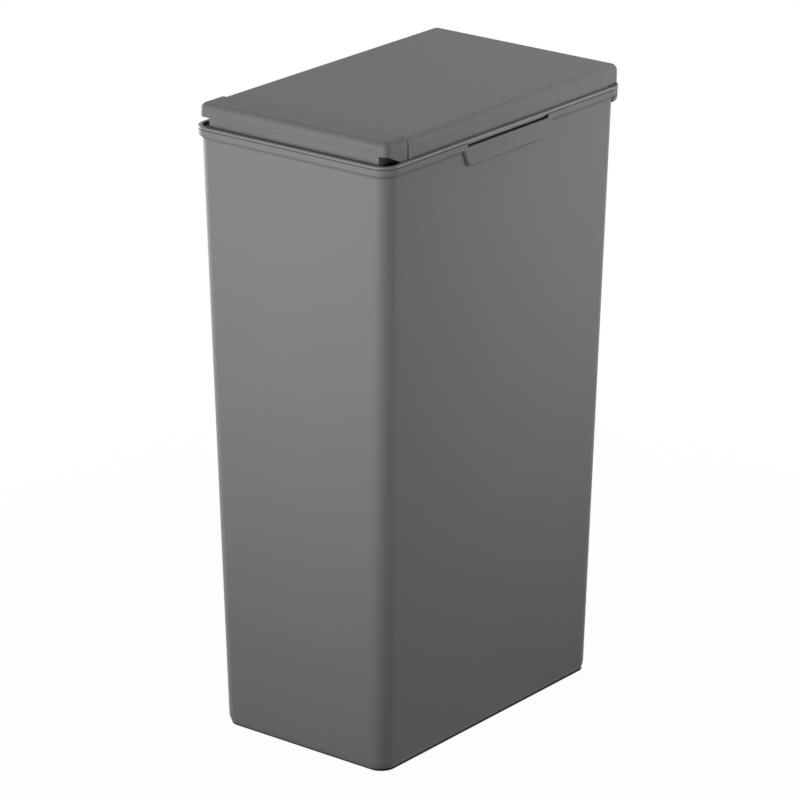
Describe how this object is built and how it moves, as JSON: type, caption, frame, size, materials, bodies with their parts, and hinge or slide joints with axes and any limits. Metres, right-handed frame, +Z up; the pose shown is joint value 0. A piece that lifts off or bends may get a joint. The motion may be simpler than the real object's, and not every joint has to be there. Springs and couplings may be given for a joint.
{
  "type": "touch-top waste bin",
  "caption": "Tall tapered rectangular kitchen bin with a lift-off lid frame and a flat hinged lid that opens at a touch of the bar along its front edge.",
  "frame": {"origin": "on the floor under the middle of the lid frame's outline", "axes": "+Z up; -Y is the front with the touch bar and +Y the hinge side; +X is the right side seen from the front"},
  "size_m": [0.2304, 0.3664, 0.6216],
  "materials": {
    "body_grey": "satin moulded polypropylene, mid grey",
    "frame_grey": "satin moulded polypropylene, mid grey",
    "lid_grey": "satin moulded polypropylene, mid grey",
    "bar_grey": "satin moulded plastic, mid grey",
    "acetal": "smooth acetal, dark grey",
    "pad_rubber": "soft black rubber",
    "steel": "bright zinc-plated steel",
    "spring_steel": "drawn spring wire"
  },
  "bodies": {
    "bin": {"bin_body": "body_grey", "base_pad_front_left": "pad_rubber", "base_pad_front_right": "pad_rubber", "base_pad_rear_left": "pad_rubber", "base_pad_rear_right": "pad_rubber"},
    "frame": {"lid_frame": "frame_grey", "latch_keeper": "acetal", "keeper_screw_left": "steel", "keeper_screw_right": "steel", "lid_buffer_front_left": "pad_rubber", "lid_buffer_front_right": "pad_rubber", "lid_buffer_rear_left": "pad_rubber", "lid_buffer_rear_right": "pad_rubber"},
    "lid": {"lid_cover": "lid_grey", "lid_pan": "lid_grey", "lid_screw_1": "steel", "lid_screw_2": "steel", "lid_screw_3": "steel", "lid_screw_4": "steel", "lid_screw_5": "steel", "lid_screw_6": "steel", "hinge_pin_left": "steel", "hinge_pin_right": "steel", "hinge_spring_left": "spring_steel", "hinge_spring_right": "spring_steel", "bar_pin_left": "steel", "bar_pin_right": "steel", "bar_spring_left": "spring_steel", "bar_spring_right": "spring_steel", "latch_pin": "steel", "latch_spring": "spring_steel"},
    "bar": {"touch_bar": "bar_grey"},
    "hook": {"latch_hook": "acetal"}
  },
  "joints": [
    {"name": "frame_lift", "type": "slide", "parent": "bin", "child": "frame", "axis": [0, 0, 1], "range_m": [0, 0.06]},
    {"name": "lid_hinge", "type": "hinge", "parent": "frame", "child": "lid", "pos_m": [0, 0.17095, 0.6118], "axis": [-1, 0, 0], "range_deg": [0, 85], "deforming": ["hinge_spring_left", "hinge_spring_right"]},
    {"name": "bar_press", "type": "hinge", "parent": "lid", "child": "bar", "pos_m": [0, -0.15025, 0.6052], "axis": [1, 0, 0], "range_deg": [0, 6], "stiffness_Nm_per_rad": 0.6, "deforming": ["bar_spring_left", "bar_spring_right"]},
    {"name": "hook_turn", "type": "hinge", "parent": "lid", "child": "hook", "pos_m": [0, -0.16125, 0.608], "axis": [1, 0, 0], "range_deg": [0, 13], "stiffness_Nm_per_rad": 0.02, "deforming": ["latch_spring"]}
  ],
  "couplings": [
    {"joint": "hook_turn", "follows": "bar_press", "ratio": 2.16}
  ]
}
